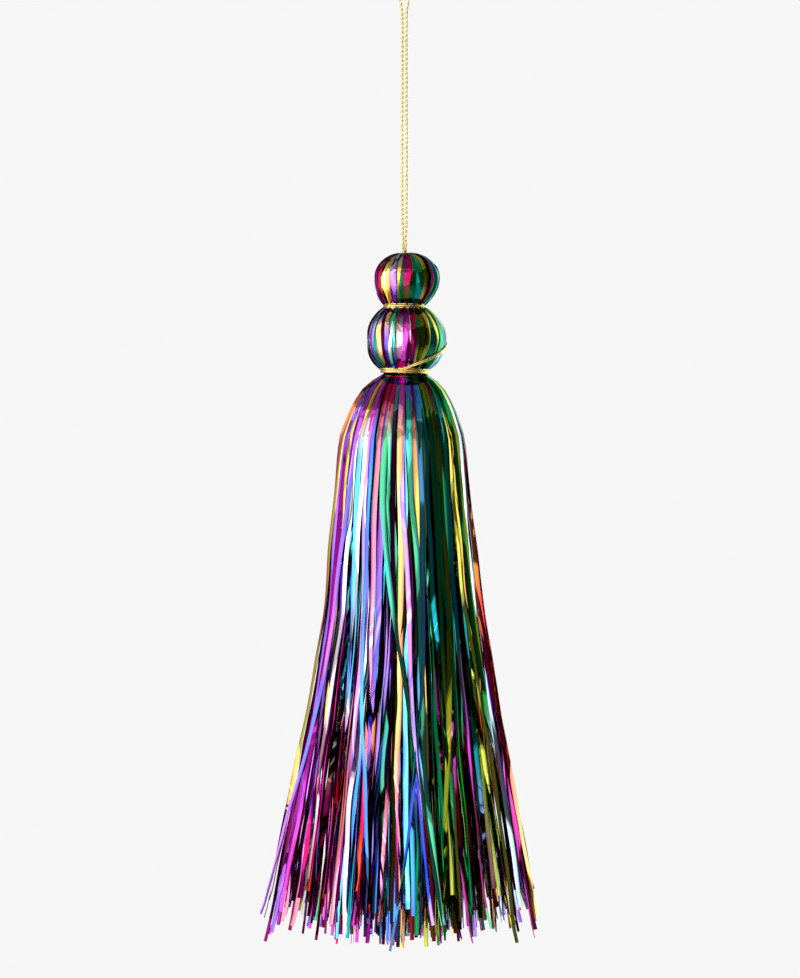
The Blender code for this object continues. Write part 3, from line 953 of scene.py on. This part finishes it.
def bellLine(share, swell, end, count):
    # Points of one strip's own line on the bell, at even distances: radius, none, depth
    line = []
    for point in bell:
        if point.z < end:
            line.append(Vector((point.x * (share + swell * point.z / end), 0, point.z)))
    last = bell[len(line)] if len(line) < len(bell) else bell[-1]
    line.append(Vector((last.x * (share + swell), 0, end)))
    length = sum((b - a).length for a, b in zip(line, line[1:]))
    return evenRoute(line, length / count)


def skirtStrip(bm, place, chance, dim, wander=1.0, cross=0.0, tint=None, onTop=False):
    # place: radius share, azimuth, depth of its end, how far it drifts by its end, in degrees, and how far it
    # swells out or in by its end, as a share. onTop: it leaves the thread wide, over its neighbours
    share, azimuth, end, drift, swell = place
    side = sideOf(azimuth)
    outermost = share > skirt["outermost"]
    phase = chance.uniform(0, 2 * math.pi)
    bends = chance.uniform(*skirt["bends"])
    twistStart = math.radians(chance.gauss(0, skirt["twistTop"]))
    if outermost and not cross and -90 < side < 45:
        twistStart += math.radians(skirt["faceTurn"] * side)
    twistEnd = math.radians(chance.gauss(0, skirt["twistHem"]))
    if chance.random() < skirt["flipped"]:
        twistEnd += math.pi * chance.choice((-1, 1))
    turnFrom = chance.uniform(*skirt["turnFrom"]) + (skirt["turnLater"] if outermost and side < 12 else 0)
    sway = math.radians(skirt["sway"]) * chance.uniform(*skirt["sways"])
    points = []
    line = bellLine(share, swell, end, skirt["rows"])
    count = len(line) - 1
    for index, here in enumerate(line):
        part = index / count
        aside = skirt["wander"] * wander * soon(part, 2.5) * math.sin(phase + part * bends * 2 * math.pi)
        aside += skirt["ripple"] * soon(part, 4) * math.sin(phase * 2 + part * bends * 8 * math.pi)
        aside += math.radians(cross) * max(0.0, part - skirt["crossFrom"]) * here.x
        angle = math.radians(azimuth + drift * part) + aside / max(here.x, 2 * mm)
        lean = skirt["lean"] * math.sin(math.pi * min(1.0, here.z / skirt["leanDepth"]))
        lean += skirt["sweep"] * max(0.0, part - skirt["sweepFrom"]) ** 1.2
        dome = math.sin(math.pi * min(1.0, here.z / skirt["domeDepth"]))
        out = here.x + skirt["bulge"] * soon(part, 8) * math.sin(phase * 4 + part * 11 * math.pi)
        if onTop:
            out += skirt["onTop"] * soon(part, 30)
        out += skirt["domeSwell"] * math.sin(phase * 5) * dome
        points.append(Vector((out * math.cos(angle) + lean, out * math.sin(angle), skirt["neckZ"] - here.z)))
    rootEnd = chance.uniform(*skirt["rootEnds"])
    pale = tint in ("frost", "ice", "teal") and not cross
    hemFrom = chance.uniform(*skirt["paleHemFrom" if pale else "hemFrom"])
    main = tint or skirtTint(skirtSides if share > 0.8 else hemSides, azimuth, chance)
    same = (cross or chance.random() < skirt["oneTint"]) and not pale
    hem = main if same else skirtTint(hemSides, azimuth + drift, chance)
    stops = (
        (rootEnd, skirtTint(rootSides, azimuth, chance)),
        (rootEnd + skirt["rootFade"], main),
        (hemFrom, main),
        (hemFrom + chance.uniform(*skirt["hemFades"]), hem),
    )
    film = tintRun(stops, count + 1)
    root = skirt["topRootWidth"] if onTop else skirt["rootWidth"]
    rows = []
    lights = []
    for index, point in enumerate(points):
        part = index / count
        outward = Vector((point.x, point.y, 0)).normalized()
        turned = shareBetween(part, turnFrom, 1)
        ease = turned * turned * (3 - 2 * turned)
        twist = (twistStart + (twistEnd - twistStart) * ease) * soon(part, 9)
        twist += sway * soon(part, 5) * math.sin(phase * 3 + part * (2 + 2 * bends) * 2 * math.pi)
        narrow = min(1.0, root + skirt["widening"] * part) * (1 - skirt["narrowing"] * part)
        rows.append(turnedRow(point, wayAt(points, index), outward, twist, narrow))
        # Painted light: a dim strip is lifted towards its open tip, and every strip is painted darker at its
        # root under the winding
        opened = shareBetween(part, skirt["tipFrom"], 1) ** 2
        light = dim + (max(dim, skirt["tipLight"]) - dim) * opened
        lights.append(light * min(1.0, skirt["rootLight"] + 2 * part))
    width = skirt["width"] * chance.uniform(*skirt["widths"])
    width *= skirt["frontWidth"] if tint else skirt["otherWidth"]
    cup = chance.uniform(*skirt["cups"]) * mm
    slant = chanceSlant(chance, skirt["hueSlant"], skirt["lightSlant"])
    layStrip(bm, rows, width, cup, film, lights, skirt["columns"], chance.random(), slant)


def skirtLight(share, azimuth):
    # Less light reaches the strips that hang further in, and those right of the middle
    left, right = skirt["shadedSides"]
    shade = skirt["shadedLight"] if left < sideOf(azimuth) < right else skirt["openLight"]
    deep = skirt["deepLight"]
    return shade * (deep + (1 - deep) * shareBetween(share, *skirt["deepShares"]))


def solidPlaces(node, middle, wedge):
    # Where the solid's strands start and how deep they end, found by the same chances as in its source
    chance = random.Random(node)
    places = []
    for share, slots, count in skirt["solidRings"]:
        for number in range(count):
            end = (skirt["length"] - skirt["hemRise"] * share) * (1 - skirt["trimmed"] * chance.random())
            drift = chance.uniform(-1, 1)
            azimuth = middle + wedge / slots * (number - (count - 1) / 2)
            places.append([share, azimuth, end, drift, chance.uniform(*skirt["outerSwell"])])
    return places


def gathered(azimuth, middle):
    # How far a strip drifts towards the middle of its lock, most at the two sides, in degrees
    return -skirt["gather"] * math.cos(math.radians(azimuth)) ** 2 * (azimuth - middle)


def solidStrips(bm, chance, node, middle, wedge):
    for number, place in enumerate(solidPlaces(node, middle, wedge)):
        share, azimuth = place[:2]
        side = sideOf(azimuth)
        if share == 1 and abs(side) < 90:
            tint = skirtFront[int((side + 90) / frontPitch)]
            dim = chance.uniform(*skirt["frontLights"])
        else:
            tint = None
            dim = chance.choice(skirt["behindLights"]) * skirtLight(share, azimuth)
        place[3] += gathered(azimuth, middle)
        onTop = share == 1 and number % 2 == 0
        skirtStrip(bm, place, chance, dim, skirt["solidWander"], tint=tint, onTop=onTop)


def strayStrips(bm, chance, middle, wedge):
    for side, cross, tint in skirtStrays:
        azimuth = (side - 90) % 360
        if (azimuth - middle + wedge / 2) % 360 < wedge:
            end = skirt["length"] * chance.uniform(*strays["lengths"])
            share = chance.uniform(*strays["frontShares" if abs(side) < 60 else "edgeShares"])
            skirtStrip(bm, (share, azimuth, end, 0, strays["swell"]), chance, 1.0, 1.0, cross, tint)


def fillStrips(bm, chance, middle, wedge, rings):
    for share, count in rings:
        for number in range(count):
            azimuth = middle + wedge * ((number + 0.5 + chance.uniform(-0.3, 0.3)) / count - 0.5)
            dim = chance.choice(skirt["fillLights"]) * skirtLight(share, azimuth)
            own = share * chance.uniform(0.98, 1.02)
            longest = skirt["length"] + skirt["over"] - skirt["hemRise"] * share
            end = longest * (1 - skirt["trimmed"] * chance.random())
            drift = chance.uniform(-0.5, 0.5) * wedge / count
            drift += gathered(azimuth, middle) if share > 0.6 else 0
            inward = skirt["openSides"] * abs(math.cos(math.radians(azimuth))) ** 4 * (0.6 < share < 0.95)
            swell = chance.uniform(*skirt["innerSwell"]) - inward
            skirtStrip(bm, (own, azimuth, end, drift, swell), chance, dim)


def skirtLock(name, node, middle, wedge, rings):
    chance = random.Random(name)
    bm = foilMesh()
    if rings is skirt["fillRings"]:
        solidStrips(bm, chance, node, middle, wedge)
        strayStrips(bm, chance, middle, wedge)
    fillStrips(bm, chance, middle, wedge, rings)
    finishStrips(bm, skirt["thickness"])
    piece = newPiece(name, bm, skirtFoil)
    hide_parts(node)
    return piece


outerWedge = 360 / skirt["outerLocks"]
innerWedge = 360 / skirt["innerLocks"]
for number in range(skirt["outerLocks"]):
    body = f"outer_lock_{number + 1:02d}"
    name = f"outerLock{number + 1:02d}"
    lock = skirtLock(name, body, outerWedge * number, outerWedge, skirt["fillRings"])
    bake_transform(lock)
for number in range(skirt["innerLocks"]):
    node = f"inner_lock_{number + 1}"
    lock = skirtLock(f"innerLock{number + 1}", node, innerWedge * number, innerWedge, skirt["innerRings"])
    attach(lock, "skirt_core")
print("skirt is hung")

# The waist, where the strips are pressed together inside the lower winding
waist = {
    "top": -120.5 * mm,
    "bottom": -125.5 * mm,
    "radius": 5.8 * mm,
    "rings": ((1.0, 46), (0.72, 30), (0.42, 16)),
    "steps": 6,
    "width": 1.5 * mm,
    "cup": 0.08 * mm,
    "twists": (10, 40),
    # painted shade: the pressed strips under the winding are darker all along
    "light": 0.6,
}


def pressedWaist():
    chance = random.Random("waist")
    bm = foilMesh()
    steps = waist["steps"]
    down = Vector((0, 0, -1))
    for ring, count in waist["rings"]:
        for number in range(count):
            azimuth = 360 * (number + chance.uniform(-0.2, 0.2)) / count
            angle = math.radians(azimuth)
            radial = Vector((math.cos(angle), math.sin(angle), 0))
            rows = []
            for step in range(steps + 1):
                z = waist["top"] + (waist["bottom"] - waist["top"]) * step / steps
                middle = radial * waist["radius"] * ring + Vector((0, 0, z))
                twist = math.radians(chance.uniform(*waist["twists"]))
                rows.append(turnedRow(middle, down, radial, twist))
            film = tintRun([(0, skirtTint(rootSides, azimuth, chance))], len(rows))
            lights = [waist["light"]] * len(rows)
            layStrip(bm, rows, waist["width"], waist["cup"], film, lights, skirt["columns"], chance.random())
    finishStrips(bm, skirt["thickness"])
    piece = newPiece("pressedWaist", bm, skirtFoil)
    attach(piece, "skirt_core")
    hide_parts("skirt_waist")


pressedWaist()
print("waist is pressed")

# The core beads inside the bulbs stay as they are made, in turned wood
turnedWood = {
    "colour": (0.62, 0.45, 0.27),
    "colourFrom": 1.0,
    "grooveShadeAndGrain": (0.30, 0.19, 0.10),
    "bump": 1,
    "depth": 0.05 * mm,
    "roughness": 0.55,
    "grain": 260,
    "grainDetail": 5,
    "stretch": 0.12,
}


def beadMaterial():
    material, nodes, links, shader = newMaterial("beadWood")
    setInputs(shader, {"Roughness": turnedWood["roughness"]})
    place = nodes.new("ShaderNodeTexCoord")
    stretch = nodes.new("ShaderNodeMapping")
    setInputs(stretch, {"Scale": (1, 1, turnedWood["stretch"])})
    grain = noiseNode(nodes, "3D", turnedWood["grain"], turnedWood["grainDetail"])
    connect(
        links,
        (place, "Object", stretch, "Vector"),
        (stretch, "Vector", grain, "Vector"),
    )
    colourByPattern(nodes, links, shader, grain, turnedWood)
    return material


beadWood = beadMaterial()
for node in ("upper_core_bead", "lower_core_bead"):
    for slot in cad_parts[node].material_slots:
        slot.material = beadWood
print("beads are finished")

# Studio: a pale floor, pale surroundings, soft boxes, and grey cards that only reflections show. A soft box
# has its side and rise from the ornament in degrees, its distance, size, roll and glow. A card has its middle
# side, how far round it reaches, its lowest and highest rise, and its grey.
studio = {
    "floorZ": -0.46,
    "floorRadius": 1.2,
    "floorFade": 0.4,
    "floorGrey": 0.9,
    "floorRoughness": 0.8,
    "pale": (0.922, 0.922, 0.922),
    "roomLight": 0.35,
    "softBoxes": (
        ("keyBox", -80, 5, 1.3, (1.0, 1.6), 10, 2.1),
        ("nearBox", -43, 5, 1.3, (0.7, 1.5), -12, 1.4),
        ("stripBox", -20, 2, 1.3, (0.34, 1.2), 6, 1.9),
        ("glintBox", -36, 10, 1.25, (0.1, 0.5), 0, 5),
        ("fillBox", 2, 4, 1.4, (0.75, 1.2), 14, 1.15),
        ("upperBox", -25, 46, 0.95, (1.1, 0.2), -5, 0.9),
        ("topBox", 48, 48, 1.3, (0.6, 0.25), 12, 1.7),
        ("farBox", 135, 5, 1.3, (1.5, 1.4), 6, 1.4),
    ),
    "cards": (
        ("sideCard", 60, 78, -34, 38, 0.15),
        ("topCard", 180, 359, 40, 88, 0.62),
        ("outerGap", -140, 18, -40, 50, 0.1),
    ),
    "cardAway": 1.0,
}


def directionOf(side, rise):
    side = math.radians(side)
    rise = math.radians(rise)
    return Vector((math.sin(side) * math.cos(rise), -math.cos(side) * math.cos(rise), math.sin(rise)))


def softBox(name, side, rise, away, size, roll, glow):
    light = bpy.data.lights.new(name, "AREA")
    light.shape = "RECTANGLE"
    light.size, light.size_y = size
    light.energy = glow * math.pi * light.size * light.size_y
    lamp = bpy.data.objects.new(name, light)
    bpy.context.scene.collection.objects.link(lamp)
    way = directionOf(side, rise)
    lamp.location = Vector(shot["aim"]) + way * away
    askew = Matrix.Rotation(math.radians(roll), 3, "Z")
    lamp.rotation_euler = (way.to_track_quat("Z", "Y").to_matrix() @ askew).to_euler()
    lamp.visible_camera = False


def greyCard(name, middle, wide, low, high, grey):
    bm = bmesh.new()
    for vert in bmesh.ops.create_grid(bm, x_segments=24, y_segments=6, size=0.5)["verts"]:
        side = middle + vert.co.x * wide
        rise = low + (vert.co.y + 0.5) * (high - low)
        vert.co = Vector(shot["aim"]) + directionOf(side, rise) * studio["cardAway"]
    material, _, _, shader = newMaterial(name)
    setInputs(shader, {"Base Color": (grey, grey, grey, 1), "Roughness": 1})
    obj = meshObject(name, bm, material)
    obj.visible_camera = False
    obj.visible_diffuse = False
    obj.visible_shadow = False
    obj.visible_transmission = False


def paleFloor():
    bm = bmesh.new()
    bmesh.ops.create_circle(bm, cap_ends=True, segments=96, radius=studio["floorRadius"])
    bmesh.ops.translate(bm, verts=bm.verts[:], vec=(0, 0, studio["floorZ"]))
    material, nodes, links, shader = newMaterial("floorPaper")
    grey = studio["floorGrey"]
    setInputs(shader, {"Base Color": (grey, grey, grey, 1), "Roughness": studio["floorRoughness"]})
    clear = nodes.new("ShaderNodeBsdfTransparent")
    fade = nodes.new("ShaderNodeMixShader")
    place = nodes.new("ShaderNodeTexCoord")
    reach = nodes.new("ShaderNodeVectorMath")
    reach.operation = "LENGTH"
    edge = nodes.new("ShaderNodeMapRange")
    edge.interpolation_type = "SMOOTHSTEP"
    setInputs(edge, {"From Min": studio["floorFade"], "From Max": studio["floorRadius"]})
    connect(
        links,
        (place, "Object", reach, 0),
        (reach, "Value", edge, "Value"),
        (edge, "Result", fade, "Fac"),
        (shader, "BSDF", fade, 1),
        (clear, "BSDF", fade, 2),
        (fade, "Shader", nodes["Material Output"], "Surface"),
    )
    floor = meshObject("paleFloor", bm, material)


def paleRoom():
    # The camera, reflections and clear shaders see it white; as a light it is weaker
    world = bpy.data.worlds.new("paleRoom")
    bpy.context.scene.world = world
    world.use_nodes = True
    nodes = world.node_tree.nodes
    links = world.node_tree.links
    seen = nodes["Background"]
    setInputs(seen, {"Color": (*studio["pale"], 1), "Strength": 1})
    room = nodes.new("ShaderNodeBackground")
    setInputs(room, {"Color": (*studio["pale"], 1), "Strength": studio["roomLight"]})
    rays = nodes.new("ShaderNodeLightPath")
    cameraOrGlossy = mathNode(nodes, "MAXIMUM")
    anySeen = mathNode(nodes, "MAXIMUM")
    mix = nodes.new("ShaderNodeMixShader")
    connect(
        links,
        (rays, "Is Camera Ray", cameraOrGlossy, 0),
        (rays, "Is Glossy Ray", cameraOrGlossy, 1),
        (cameraOrGlossy, 0, anySeen, 0),
        (rays, "Is Transmission Ray", anySeen, 1),
        (anySeen, 0, mix, "Fac"),
        (room, "Background", mix, 1),
        (seen, "Background", mix, 2),
        (mix, "Shader", nodes["World Output"], "Surface"),
    )


paleRoom()
paleFloor()
for box in studio["softBoxes"]:
    softBox(*box)
for card in studio["cards"]:
    greyCard(*card)
bpy.context.scene.view_settings.view_transform = "Standard"
print("studio is lit")
